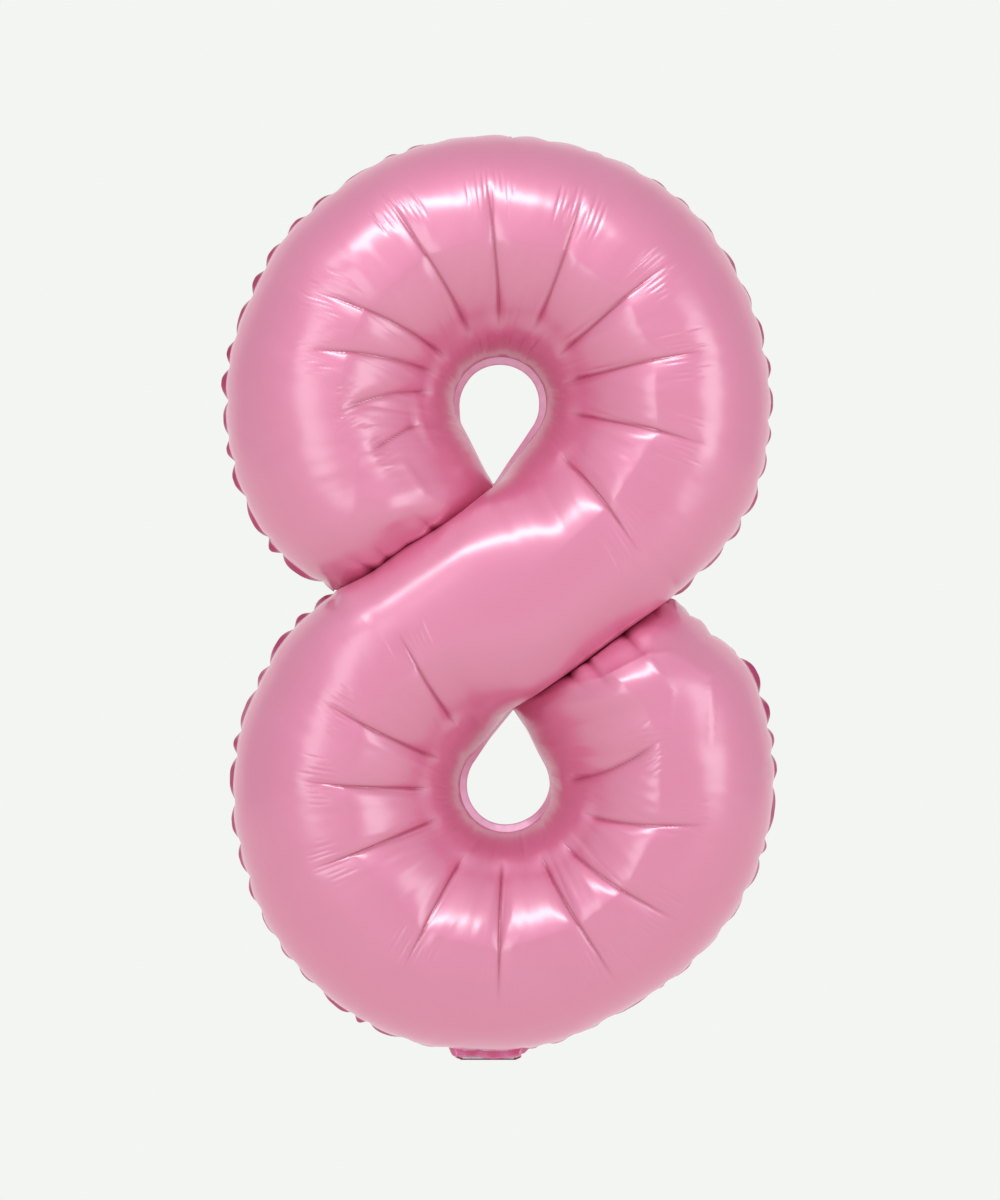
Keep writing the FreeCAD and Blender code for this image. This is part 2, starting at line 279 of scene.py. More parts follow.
def facetKnots(middle, u):
    # the stations that pass through the main creases, and where a loop's first and last crease bound the facets
    knots, inside = [0, len(u) - 1], np.zeros(len(u), bool)
    for name, on in (("upper", u < 1.02), ("lower", u > 1.98)):
        hole, rows, own = digit[name + "Hole"], np.nonzero(on)[0], []
        angle = np.unwrap(np.arctan2(middle[rows, 1] - hole[1], middle[rows, 0] - hole[0]))
        for inner, outer, *_ in holeCreases[name]:
            target = math.radians(0.35 * inner + 0.65 * outer)
            target += 2 * math.pi * round((angle.mean() - target) / (2 * math.pi))
            best = int(np.argmin(np.abs(angle - target)))
            if abs(angle[best] - target) < 0.03:
                own.append(int(rows[best]))
        inside[min(own):max(own)] = True
        knots += own
    return np.unique(knots), inside


def facetBlend(rows, knots, amount):  # pulls each row towards the straight line between the nearest knots
    low = np.clip(np.searchsorted(knots, np.arange(len(rows)), "right") - 1, 0, len(knots) - 2)
    share = (np.arange(len(rows)) - knots[low]) / (knots[low + 1] - knots[low])
    straight = rows[knots[low]] * (1 - share)[:, None, None] + rows[knots[low + 1]] * share[:, None, None]
    return rows + (straight - rows) * amount[..., None]


def window(u, start, rise, end, fall):  # 0 outside start to end, 1 inside, with a smooth step at each side
    return smooth((u - start) / rise) * smooth((end - u) / fall)


def pressed(points):
    # beside a weld both walls are pushed against each other up to two thirds of their height, and lean over it
    high = np.abs(points[..., 1]) / tube["waistDepth"]
    band = smooth(high / 0.10) * smooth((0.90 - high) / 0.28)
    for name, tip, notch in (("upperLean", "upperTip", "leftNotch"), ("lowerLean", "lowerTip", "rightNotch")):
        a, b = np.array(digit[tip]), np.array(digit[notch])
        along = (b - a) / np.linalg.norm(b - a)
        side = np.array([-along[1], along[0]])
        off = points[..., [0, 2]] - a
        t, d = (off @ along) / np.linalg.norm(b - a), off @ side
        on = window(t, -0.14, 0.30, 1.06, 0.12)
        close = tube["touch"] * band * on * np.exp(-(d / tube["touchWidth"]) ** 2)
        moved = np.sign(d) * np.maximum(np.abs(d) - close, np.minimum(np.abs(d), tube["touchGap"])) - d
        places, lean = np.array(tube[name]).T
        even = np.linspace(0, 1, 200)
        bent = softened(np.interp(even, places, lean / 1000)[:, None], tube["leanBlur"])[:, 0]
        leanWidth = np.where(d > 0, tube["diagonalLean"], tube["lobeLean"])
        leaned = np.interp(t, even, bent) * on * np.exp(-(d / leanWidth) ** 2)
        moved = moved + leaned * smooth(np.abs(points[..., 1]) / tube["leanRise"])
        points[..., 0] += moved * side[0]
        points[..., 2] += moved * side[1]
    return points


# painted shade beside each hole: how deep it gets, how far it reaches (m), its darkest bearing, its least share
holePaintedShade = {"upperHole": (0.85, 0.042, 55, 0.30), "lowerHole": (0.75, 0.036, 100, 0.40)}


def holeShade(plan, name, distance, on):
    # how much painted shade darkens the film towards a hole: a bell curve of the distance from the hole's edge,
    # strongest at one bearing and falling as a cosine to its least share at the opposite one
    deepest, reach, darkest, least = holePaintedShade[name]
    turn = np.arctan2(plan[..., 1] - digit[name][1], plan[..., 0] - digit[name][0])
    facing = least + (1 - least) * (0.5 + 0.5 * np.cos(turn - math.radians(darkest)))
    return on * deepest * facing * np.exp(-(distance / reach) ** 1.3)


def section(square, phi):  # one half of a superellipse: how far across (0 to 1) and how high (0 to 1)
    return 1 - np.cos(phi) ** (2 / square), np.sin(phi) ** (2 / square)


def filmSurface(side, stations, across, seed):
    # half superellipses carried along the S, as high as the tube is deep there, flattened between the main creases,
    # moved along their normals by the folds, drawn in at the hems and pressed together at the welds; returns the
    # points, masks for the material, the film's own lengths and u
    left, right, length, u = tubeEdges(stations)
    total = length[-1]
    nearEnd = np.minimum(length, total - length)
    fromTop = 1 - np.clip(nearEnd / tube["endLength"], 0, 1)
    rise = (1 - fromTop ** tube["endSquare"]) ** (1 / tube["endSquare"])
    waist = smooth(1 - np.abs(length - total / 2) / tube["waistReach"])
    depth = (tube["loopDepth"] + (tube["waistDepth"] - tube["loopDepth"]) * waist) * rise

    welded = np.stack([window(u, 0.90, 0.12, 1.68, 0.26), window(u, 1.32, 0.26, 2.10, 0.12)])
    holed = np.stack([smooth((u - 1.58) / 0.22), smooth((1.42 - u) / 0.22)])
    square = tube["plainSquare"] + (tube["holeSquare"] - tube["plainSquare"]) * holed
    square = square + (tube["weldSquare"] - square) * welded
    phi = np.linspace(0, np.pi, across)
    half = across // 2 + 1
    leftOut, leftUp = section(square[0][:, None], phi[None, :half].clip(0, np.pi / 2))
    rightOut, rightUp = section(square[1][:, None], phi[None, :half].clip(0, np.pi / 2))
    reach = np.concatenate([0.5 * leftOut, 1 - 0.5 * rightOut[:, -2::-1]], 1)
    up = np.concatenate([leftUp, rightUp[:, -2::-1]], 1)
    plan = left[:, None] + (right - left)[:, None] * reach[..., None]
    y = depth[:, None] * up
    points = np.stack([plan[..., 0], side * (digit["seamGap"] + y), plan[..., 1]], 2)

    outerShare = np.where(u[:, None] < 1.5, 1 - reach, reach)  # 1 at the loops' outside seam
    knots, faceted = facetKnots(points[:, across // 2][:, [0, 2]], u)
    amount = folds["facet"] * smooth((folds["facetEdge"] + 0.06 - outerShare) / 0.10) \
        * smooth((outerShare - 0.08) / 0.22) * faceted[:, None]
    points = facetBlend(points, knots, amount)

    du, dv = np.gradient(points, axis=0), np.gradient(points, axis=1)
    normal = np.cross(du, dv)
    normal /= np.maximum(np.linalg.norm(normal, axis=2, keepdims=True), 1e-12)
    if normal[stations // 2, across // 2, 1] * side < 0:
        normal = -normal
    normal[0] = normal[-1] = np.array([0, side, 0])

    steps = np.linalg.norm(np.diff(points, axis=1), axis=2)
    arc = np.concatenate([np.zeros((stations, 1)), np.cumsum(steps, 1)], 1)
    fromLeft, fromRight = arc, arc[:, -1:] - arc
    leftRun, rightRun = runLength(left), runLength(right)
    flat = points[..., [0, 2]]
    onUpper, onLower = smooth((1.30 - u) / 0.12)[:, None], smooth((u - 1.70) / 0.12)[:, None]
    upperOut, lowerOut = smooth((1.10 - u) / 0.08)[:, None], smooth((u - 1.90) / 0.08)[:, None]
    pucker = folds["puckerPitch"], folds["puckerDepth"], folds["puckerLength"]
    gather = folds["gatherPitch"], folds["gatherDepth"], folds["gatherLength"]
    layers = [
        creaseField(flat, digit["upperHole"], holeCreases["upper"], onUpper, seed + 10),
        creaseField(flat, digit["lowerHole"], holeCreases["lower"], onLower, seed + 11),
        seamPuckers(leftRun, fromLeft, *pucker, folds["seed"], upperOut),
        seamPuckers(rightRun, fromRight, *pucker, folds["seed"] + 1, lowerOut),
    ]
    lobeEnd = reach[stations // 12] * folds["lobeWidth"]  # distance along the weld at a lobe's end
    for fromWeld, seedShift in ((length, 4), (total - length, 5)):
        fromWeld = fromWeld[None] + np.zeros((across, 1))
        bunch, fold = seamPuckers(lobeEnd, fromWeld, *gather, folds["seed"] + seedShift, 1.0)
        layers.append((bunch.T, fold.T))
    height = sum(layer[0] for layer in layers)
    # the fold lines' mask: where the material paints shade into the creases and puckers
    dark = np.maximum.reduce([layer[1] for layer in layers])
    comb = np.maximum(layers[0][2], layers[1][2])
    height = height + lineRidges(flat)
    calm = 1 - folds["calm"] * smooth((0.52 - np.abs(u - 1.5)) / 0.2)[:, None]  # the diagonal is taut
    height = height + calm * folds["swell"] * noiseField(height.shape, (70, 4), seed)
    height = height + 0.3 * calm * folds["swell"] * noiseField(height.shape, (240, 14), seed + 1)
    atSeam = smooth(np.minimum(fromLeft, fromRight) / 0.005 + 0.2) * smooth(nearEnd / 0.0015)[:, None]
    points = points + normal * (height * atSeam)[..., None]
    outsides = ((left, leftRun, fromLeft, "upperCentre", upperOut, 0),
                (right, rightRun, fromRight, "lowerCentre", lowerOut, 1))
    for edge, run, distance, name, mask, seedShift in outsides:
        inward = -outwardOf(softened(edge, folds["outwardBlur"]), digit[name])
        dips = seamCusps(run, folds["seed"] + seedShift, mask[:, 0])[:, None]
        pull = dips * np.exp(-(distance / folds["cuspReach"]) ** 1.4)
        points[..., 0] += pull * inward[:, :1]
        points[..., 2] += pull * inward[:, 1:]
    points = pressed(points)
    points[..., 1] = side * np.maximum(digit["seamGap"], side * points[..., 1])
    points[:, 0, 1] = points[:, -1, 1] = side * digit["seamGap"]
    points[0, :, 1] = points[-1, :, 1] = side * digit["seamGap"]
    # painted shade on the film towards each hole, strongest on the side the light misses
    shade = np.maximum(holeShade(flat, "upperHole", fromRight, smooth((1.50 - u) / 0.2)[:, None]),
                       holeShade(flat, "lowerHole", fromLeft, smooth((u - 1.50) / 0.2)[:, None]))
    alongRun = length[:, None] + np.zeros((1, across))
    return points, {"fold": dark, "comb": comb, "shade": shade}, np.stack([alongRun, arc], 2), u


def outwardOf(edge, centre):  # unit vectors square to an edge, pointing away from a centre
    along = np.gradient(edge, axis=0)
    across = np.stack([along[:, 1], -along[:, 0]], 1)
    across /= np.maximum(np.linalg.norm(across, axis=1, keepdims=True), 1e-12)
    return across * np.sign(((edge - np.array(centre)) * across).sum(1))[:, None]


def gridMesh(name, points, uv=None, masks=None, outward=None):
    # a sheet of quads over a grid of points, with its own lengths as its UV map
    rows, cols = points.shape[:2]
    index = np.arange(rows * cols).reshape(rows, cols)
    quads = np.stack([index[:-1, :-1], index[1:, :-1], index[1:, 1:], index[:-1, 1:]], 2).reshape(-1, 4)
    if outward is not None:
        a, b, c = (points.reshape(-1, 3)[quads[:, k]] for k in (0, 1, 3))
        if (np.cross(b - a, c - a) @ np.array(outward)).sum() < 0:
            quads = quads[:, ::-1]
    mesh = bpy.data.meshes.new(name)
    mesh.vertices.add(rows * cols)
    mesh.vertices.foreach_set("co", points.reshape(-1).astype(np.float32))
    mesh.loops.add(quads.size)
    mesh.loops.foreach_set("vertex_index", quads.reshape(-1).astype(np.int32))
    mesh.polygons.add(len(quads))
    mesh.polygons.foreach_set("loop_start", np.arange(0, quads.size, 4, dtype=np.int32))
    mesh.polygons.foreach_set("use_smooth", np.ones(len(quads), bool))
    mesh.update(calc_edges=True)
    if uv is not None:
        layer = mesh.uv_layers.new(name="filmLengths")
        layer.data.foreach_set("uv", uv.reshape(-1, 2)[quads.reshape(-1)].reshape(-1).astype(np.float32))
    for label, values in (masks or {}).items():
        layer = mesh.attributes.new(label, "FLOAT", "POINT")
        layer.data.foreach_set("value", values.reshape(-1).astype(np.float32))
    mesh.validate()
    thing = bpy.data.objects.new(name, mesh)
    bpy.context.scene.collection.objects.link(thing)
    return thing


def nodeGroup(name, inputs, outputs):
    group = bpy.data.node_groups.new(name, "ShaderNodeTree")
    for label, kind, value in inputs:
        socket = group.interface.new_socket(name=label, in_out="INPUT", socket_type=kind)
        socket.default_value = value
    for label, kind in outputs:
        group.interface.new_socket(name=label, in_out="OUTPUT", socket_type=kind)
    return group, group.nodes.new("NodeGroupInput"), group.nodes.new("NodeGroupOutput")


def mathNode(tree, operation, a, b=None):
    node = tree.nodes.new("ShaderNodeMath")
    node.operation = operation
    for slot, value in enumerate((a, b)):
        if isinstance(value, bpy.types.NodeSocket):
            tree.links.new(value, node.inputs[slot])
        elif value is not None:
            node.inputs[slot].default_value = value
    return node.outputs[0]


def mixColour(tree, factor, a, b):
    node = tree.nodes.new("ShaderNodeMix")
    node.data_type = "RGBA"
    for socket, value in ((node.inputs["Factor"], factor), (node.inputs["A"], a), (node.inputs["B"], b)):
        if isinstance(value, bpy.types.NodeSocket):
            tree.links.new(value, socket)
        else:
            socket.default_value = value
    return node.outputs["Result"]


hem = {
    "width": 0.0075, "columns": 6, "thickness": 0.00030, "ruffle": 0.0006, "ruffleLength": 0.021,
    # how far it shows past the film round each loop: (bearing in degrees, mm)
    "upperShows": [(-50, 4.0), (-20, 4.2), (8, 4.6), (30, 3.6), (52, 3.4), (75, 2.2), (90, 1.6), (100, 2.0),
                   (112, 3.6), (135, 4.6), (165, 5.4), (190, 5.2), (201, 4.6), (208, 7.0), (216, 5.4), (232, 3.0)],
    "lowerShows": [(126, 4.6), (140, 5.0), (165, 4.6), (190, 4.4), (215, 3.4), (236, 5.4), (250, 2.6), (258, 3.0),
                   (260, 7.4), (273, 7.4), (275, 3.2), (300, 2.6), (320, 3.0), (350, 3.4), (372, 4.0), (380, 5.2),
                   (387, 6.4), (391, 1.6), (410, 0.8)],
    # how far each hole's ring is turned back: (bearing, degrees)
    "upperTilts": [(0, 30), (90, 24), (150, 30), (190, 55), (206, 78), (258, 80), (285, 60), (320, 42), (360, 30)],
    "lowerTilts": [(0, 70), (70, 80), (110, 66), (140, 40), (180, 30), (250, 24), (300, 30), (330, 48), (360, 70)],
    "ringWave": 6, "ringRuffle": 0.013,
    # the lip over the tail's root: half its width, how much wider the band is, its tilt, and the waves of its edge
    "lipHalf": 0.030, "lipFade": 0.009, "lipExtra": 0.0006, "lipTilt": -0.24, "lipSway": 0.0006, "lipWave": 0.0085,
    "weldWidth": 0.0064, "weldSide": -0.0032, "weldReach": 0.97, "seed": 21,
}


def bothFaces(points, thickness):
    # the band's front and back faces, half its thickness either way, as one closed loop of columns
    front, back = points.copy(), points[:, ::-1].copy()
    front[..., 1] -= thickness / 2
    back[..., 1] += thickness / 2
    return np.concatenate([front, back, front[:, :1]], 1)


def hemStrip(edge, outward, width, tilt, ruffle):
    # a flat band that leaves the seam: its width's cosine of the tilt outwards and its sine backwards, rippled most
    # along its outer edge
    w = np.linspace(0, 1, hem["columns"])
    flat = edge[:, None] + outward[:, None] * (width * np.cos(tilt))[:, None, None] * w[None, :, None]
    y = (width * np.sin(tilt))[:, None] * w[None] + ruffle[:, None] * w[None] ** 1.5
    run = runLength(edge)[:, None] + np.zeros((1, hem["columns"]))
    uv = np.stack([run, np.broadcast_to(w * hem["width"], run.shape)], 2)
    points = bothFaces(np.stack([flat[..., 0], y, flat[..., 1]], 2), hem["thickness"])
    return points, np.concatenate([uv, uv[:, ::-1], uv[:, :1]], 1)


def outerHem(name, edge, run, shows, centre, seedShift, keep):
    # mid-way between two puckers the band shows as a crescent, and at a pucker it is folded straight back
    inward = -outwardOf(softened(edge, folds["outwardBlur"]), centre)
    edge = edge + inward * seamCusps(run, folds["seed"] + seedShift, 1.0)[:, None]
    places, _, _ = puckerPlaces(float(run.max()), folds["puckerPitch"], folds["seed"] + seedShift)
    gap = np.interp(run, 0.5 * (places[1:] + places[:-1]), 0.5 * np.diff(places))
    near = np.abs(run[:, None] - places[None]).min(1) / gap
    turn = np.degrees(np.unwrap(np.arctan2(edge[:, 1] - centre[1], edge[:, 0] - centre[0])))
    bearings, widths = np.array(shows).T
    turn += 360 * np.round((bearings.mean() - turn[keep].mean()) / 360)
    visible = np.interp(turn, bearings, widths) / 1000 * (0.16 + 0.84 * smooth(near * 1.15) ** 0.7)
    rng = np.random.default_rng(hem["seed"] + seedShift)
    visible *= np.interp(run, np.linspace(0, run[-1], 60), rng.uniform(0.72, 1.18, 60))
    tilt = np.arccos(np.clip(visible / hem["width"], 0.02, 0.995))
    drift = 18 * run / run[-1]  # so the ripples keep no even step
    ruffle = hem["ruffle"] * np.sin(run * 2 * np.pi / hem["ruffleLength"] + drift)
    atBottom = edge[:, 1] < 0.05
    onLip = smooth((hem["lipHalf"] + hem["lipFade"] - np.abs(edge[:, 0])) / 0.011) * atBottom
    sway = hem["lipSway"] * np.sin(edge[:, 0] / hem["lipWave"] + 0.8)
    tilt = tilt * (1 - onLip) + hem["lipTilt"] * onLip
    width = hem["width"] + (hem["lipExtra"] + sway) * onLip
    points, uv = hemStrip(edge[keep], -inward[keep], width[keep], tilt[keep], ruffle[keep])
    # the lip over the tail's root goes in the shade mask, where the material lifts the hem's painted shade to a
    # lighter pink
    return gridMesh(name, points, uv, {"shade": onLip[keep][:, None] + np.zeros(points.shape[:2])})


def weldBand(name, tip, notch):
    # the flat weld between a lobe's end and the diagonal, deep in the groove
    t = np.linspace(0.0, hem["weldReach"], 160)
    none = np.zeros(len(t))
    middle = weldEdge(digit[tip], digit[notch], none, t)
    across = weldEdge(digit[tip], digit[notch], none + 1, t) - middle
    edge = weldEdge(digit[tip], digit[notch], none + hem["weldSide"], t)
    points, uv = hemStrip(edge, across, none + hem["weldWidth"], none, none)
    return gridMesh(name, points, uv)


def holeHem(name, edge, centre, tilts, seed):
    # the flat ring inside a hole, gently cupped backwards and turned straight back where a lobe hangs over it
    rng = np.random.default_rng(seed)
    run = runLength(edge)
    turn = np.degrees(np.arctan2(edge[:, 1] - centre[1], edge[:, 0] - centre[0])) % 360
    bearings, degrees = np.array(tilts).T
    wave = np.interp(run, np.linspace(0, run[-1], 14), rng.uniform(-1, 1, 14))
    tilt = np.interp(turn, bearings, degrees) + hem["ringWave"] * wave
    tilt = np.radians(np.clip(tilt, 5, 84))
    ruffle = 0.5 * hem["ruffle"] * np.sin(run * 2 * np.pi / hem["ringRuffle"])
    inward = -outwardOf(softened(edge, folds["outwardBlur"]), centre)
    points, uv = hemStrip(edge, inward, np.full(len(run), hem["width"]), tilt, ruffle)
    return gridMesh(name, points, uv)


film = {"frontGrid": (2300, 95), "backGrid": (1500, 71)}
frontPoints, frontMasks, frontUv, _ = filmSurface(-1, *film["frontGrid"], 41)
backPoints, backMasks, backUv, _ = filmSurface(1, *film["backGrid"], 63)
frontFilm = gridMesh("frontFilm", frontPoints, frontUv, frontMasks, (0, -1, 0))
backFilm = gridMesh("backFilm", backPoints, backUv, backMasks, (0, 1, 0))
for thing, node, slot in ((frontFilm, "front_film", "foil_front"), (backFilm, "back_film", "foil_back")):
    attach(thing, "balloon")
    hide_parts(node)
print("films made", len(frontFilm.data.polygons), len(backFilm.data.polygons))

leftEdge, rightEdge, _, edgeU = tubeEdges(film["frontGrid"][0])
leftRun, rightRun = runLength(leftEdge), runLength(rightEdge)
upperHem = outerHem("upperSeamHem", leftEdge, leftRun, hem["upperShows"], digit["upperCentre"], 0, edgeU < 1)
lowerHem = outerHem("lowerSeamHem", rightEdge, rightRun, hem["lowerShows"], digit["lowerCentre"], 1, edgeU > 2)
atUpperHole, atLowerHole = edgeU < 1 + digit["crossingShare"], edgeU > 2 - digit["crossingShare"]
upperRing = holeHem("upperHoleHem", rightEdge[atUpperHole], digit["upperHole"], hem["upperTilts"], hem["seed"] + 2)
lowerRing = holeHem("lowerHoleHem", leftEdge[atLowerHole], digit["lowerHole"], hem["lowerTilts"], hem["seed"] + 3)
upperWeld = weldBand("upperLobeWeld", "upperTip", "leftNotch")
lowerWeld = weldBand("lowerLobeWeld", "lowerTip", "rightNotch")
sealed = ((upperHem, "outer_seam_hem", "foil_hem"), (lowerHem, "outer_seam_hem", "foil_hem"),
          (upperRing, "upper_hole_hem", "foil_hem"), (lowerRing, "lower_hole_hem", "foil_hem"),
          (upperWeld, "upper_lobe_weld", "foil_weld"), (lowerWeld, "lower_lobe_weld", "foil_weld"))
for thing, node, slot in sealed:
    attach(thing, "balloon")
    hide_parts(node)
print("hems and welds made")


tail = {
    "width": 0.062, "length": 0.0586, "rows": 60, "columns": 64, "start": 0.0014, "slope": 0.0877, "gap": 0.0008,
    "cornerShare": 0.137, "corner": 0.008, "rootNarrow": 0.005, "crumple": 0.0006, "wall": 0.0003,
}


def leafSheet(name, body, node, outside, seed):
    # a tail leaf folded back from the root: a flat sheet that rises evenly behind it, narrower at the root and with
    # two round corners, lightly crumpled by smooth noise; outside is -1 below and 1 above
    v, w = np.linspace(0, 1, tail["rows"]), np.linspace(-1, 1, tail["columns"])
    share = tail["cornerShare"]
    cornerRound = np.sqrt(np.clip(1 - np.clip((v - 1 + share) / share, 0, 1) ** 2, 0, 1))
    half = tail["width"] / 2 - tail["corner"] * (1 - cornerRound) - tail["rootNarrow"] * (1 - smooth(v * 5))
    x = half[:, None] * w[None]
    y = tail["start"] + tail["length"] * v[:, None] + np.zeros_like(x)
    rough = noiseField(x.shape, (5, 6), seed) + 0.5 * noiseField(x.shape, (11, 12), seed + 1)
    z = tail["slope"] * y + outside * tail["gap"] + tail["crumple"] * rough * smooth(v * 3)[:, None]
    thing = gridMesh(name, np.stack([x, y, z], 2), np.stack([y, x], 2), None, (0, 0, outside))
    thickened(thing, tail["wall"])
    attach(thing, body)
    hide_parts(node)
    return thing


def thickened(thing, thickness):  # equal walls on both sides of a sheet
    wall = thing.modifiers.new("filmWall", "SOLIDIFY")
    wall.thickness, wall.offset = thickness, 0.0


tab = {
    "half": 0.013, "length": 0.020, "squareness": 7.0, "hole": 0.0025, "holeAt": 0.011, "rings": 26, "around": 160,
    "root": (0.009, 0.0014, 0.8608), "lean": math.radians(85), "slope": 0.05, "sag": 14.0, "wall": 0.0004,
}


def hangTab():
    # a rounded leaf with a round hole, folded back over the top hem: rings from the hole's circle out to a
    # superellipse, dropping with the square of the distance behind the rim
    a = np.linspace(0, 2 * np.pi, tab["around"] + 1)
    c, sn, halfLength = np.cos(a), np.sin(a), tab["length"] / 2
    power = tab["squareness"]
    r = (np.abs(c / tab["half"]) ** power + np.abs(sn / halfLength) ** power) ** (-1 / power)
    outline = np.stack([r * c, r * sn + halfLength], 1)
    inner = np.stack([tab["hole"] * c, tab["hole"] * sn + tab["holeAt"]], 1)
    s = np.linspace(0, 1, tab["rings"])[:, None, None]
    flat = inner[None] * (1 - s) + outline[None] * s
    x = tab["root"][0] + flat[..., 0]
    y = tab["root"][1] + flat[..., 1] * math.sin(tab["lean"])
    z = tab["root"][2] - tab["slope"] * flat[..., 1] - tab["sag"] * flat[..., 1] ** 2
    thing = gridMesh("hangingTab", np.stack([x, y, z], 2), flat, None, (0, 0, 1))
    thickened(thing, tab["wall"])
    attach(thing, "tab")
    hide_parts("hanging_tab")
    return thing


tabPiece = hangTab()
frontLeaf = leafSheet("tailFrontLeaf", "tail_front", "tail_front_leaf", -1, 5)
backLeaf = leafSheet("tailBackLeaf", "tail_back", "tail_back_leaf", 1, 7)
print("tail and tab made")


def makeCrinkle():
    # film detail as one height: fine wrinkles square to the tube where the comb mask is, soft quilting and grain
    group, inside, outside = nodeGroup("filmCrinkle", [
        ("Wrinkle Pitch", "NodeSocketFloat", 160.0), ("Wrinkle Height", "NodeSocketFloat", 0.3),
        ("Quilt Height", "NodeSocketFloat", 0.6), ("Grain Height", "NodeSocketFloat", 0.05),
        ("Comb", "NodeSocketFloat", 0.0)],
        [("Height", "NodeSocketFloat"), ("Tone", "NodeSocketFloat")])
    uv = group.nodes.new("ShaderNodeUVMap")
    uv.uv_map = "filmLengths"
    stretch = group.nodes.new("ShaderNodeMapping")
    stretch.inputs["Scale"].default_value = (1.0, 0.09, 1.0)
    group.links.new(uv.outputs[0], stretch.inputs["Vector"])
    comb = group.nodes.new("ShaderNodeTexNoise")
    comb.inputs["Detail"].default_value = 1.5
    comb.inputs["Distortion"].default_value = 0.3
    group.links.new(stretch.outputs[0], comb.inputs["Vector"])
    group.links.new(inside.outputs["Wrinkle Pitch"], comb.inputs["Scale"])
    place = group.nodes.new("ShaderNodeTexCoord")

    def noise(scale, detail):
        node = group.nodes.new("ShaderNodeTexNoise")
        node.inputs["Scale"].default_value = scale
        node.inputs["Detail"].default_value = detail
        group.links.new(place.outputs["Object"], node.inputs["Vector"])
        return node.outputs[0]

    patch, quilt, grain = noise(14.0, 1.0), noise(30.0, 2.0), noise(900.0, 1.0)
    combed = mathNode(group, "MULTIPLY", comb.outputs[0], inside.outputs["Comb"])
    combed = mathNode(group, "MULTIPLY", combed, inside.outputs["Wrinkle Height"])
    quilted = mathNode(group, "MULTIPLY", quilt, inside.outputs["Quilt Height"])
    grained = mathNode(group, "MULTIPLY", grain, inside.outputs["Grain Height"])
    height = mathNode(group, "ADD", mathNode(group, "ADD", combed, quilted), grained)
    group.links.new(height, outside.inputs["Height"])
    group.links.new(patch, outside.inputs["Tone"])
    return group


crinkle = makeCrinkle()


def attributeValue(tree, label):
    node = tree.nodes.new("ShaderNodeAttribute")
    node.attribute_name = label
    return node.outputs["Fac"]


def foilMaterial(name, look):
    # metallised film: a tinted rough mirror under a thin clear lacquer, mixed to painted shade along the fold lines
    # and to the shade mask's colour (painted shade beside the holes on the films, a lighter lip on the hems), with
    # the crinkle's height as bumps
    material = bpy.data.materials.new(name)
    material.use_nodes = True
    tree = material.node_tree
    shader = tree.nodes["Principled BSDF"]
    detail = tree.nodes.new("ShaderNodeGroup")
    detail.node_tree = crinkle
    for label, value in look["crinkle"].items():
        detail.inputs[label].default_value = value
    tone = mathNode(tree, "MULTIPLY", mathNode(tree, "SUBTRACT", detail.outputs["Tone"], 0.35), look["toneMix"])
    colour = mixColour(tree, tone, look["colour"], look["second"])
    # the shade mask: painted shade beside the holes on the films; on the hems it marks the tail's lip, coloured a
    # lighter pink
    colour = mixColour(tree, attributeValue(tree, "shade"), colour, look["shadeColour"])
    if look["foldShadeMix"]:
        tree.links.new(attributeValue(tree, "comb"), detail.inputs["Comb"])
        # painted shade along the creases and puckers, by the fold lines' mask
        deep = mathNode(tree, "MULTIPLY", attributeValue(tree, "fold"), look["foldShadeMix"])
        deep = mathNode(tree, "MINIMUM", deep, 0.95)
        colour = mixColour(tree, deep, colour, look["foldShadeColour"])
    else:
        detail.inputs["Comb"].default_value = 1.0
    tree.links.new(colour, shader.inputs["Base Color"])
    rough = mathNode(tree, "MULTIPLY", detail.outputs["Tone"], look["roughVary"])
    rough = mathNode(tree, "ADD", rough, look["rough"])
    tree.links.new(rough, shader.inputs["Roughness"])
    shader.inputs["Metallic"].default_value = look["metallic"]
    shader.inputs["Coat Weight"].default_value = look["coat"]
    shader.inputs["Coat Roughness"].default_value = look["coatRough"]
    shader.inputs["Coat IOR"].default_value = look["coatIor"]
    shader.inputs["Transmission Weight"].default_value = look.get("clear", 0.0)
    bump = tree.nodes.new("ShaderNodeBump")
    bump.inputs["Strength"].default_value = look["bump"]
    bump.inputs["Distance"].default_value = 0.001
    tree.links.new(detail.outputs["Height"], bump.inputs["Height"])
    tree.links.new(bump.outputs["Normal"], shader.inputs["Normal"])
    return material


# the film's fold colour is painted shade in the creases and puckers, and its shade colour is painted shade beside
# the holes
filmLook = {
    "colour": (0.775, 0.205, 0.375, 1), "second": (0.80, 0.26, 0.43, 1), "toneMix": 0.8,
    "foldShadeColour": (0.52, 0.02, 0.13, 1), "foldShadeMix": 1.3, "shadeColour": (0.55, 0.07, 0.19, 1),
    "rough": 0.58, "roughVary": 0.08, "metallic": 0.90, "coat": 1.0, "coatRough": 0.25, "coatIor": 2.2, "bump": 0.6,
    "crinkle": {"Wrinkle Pitch": 330.0, "Wrinkle Height": 1.2, "Quilt Height": 0.30, "Grain Height": 0.03},
}
# the hems and welds: the same foil as the film, painted a deeper raspberry as painted shade; its shade colour is the
# lighter pink of the tail's lip
shadedHemLook = {
    "colour": (0.46, 0.045, 0.15, 1), "second": (0.66, 0.13, 0.28, 1), "toneMix": 1.0,
    "foldShadeMix": 0.0, "shadeColour": (0.74, 0.20, 0.37, 1),
    "rough": 0.28, "roughVary": 0.12, "metallic": 0.80, "coat": 0.4, "coatRough": 0.15, "coatIor": 1.5, "bump": 0.5,
    "crinkle": {"Wrinkle Pitch": 420.0, "Wrinkle Height": 0.4, "Quilt Height": 0.4, "Grain Height": 0.1},
}
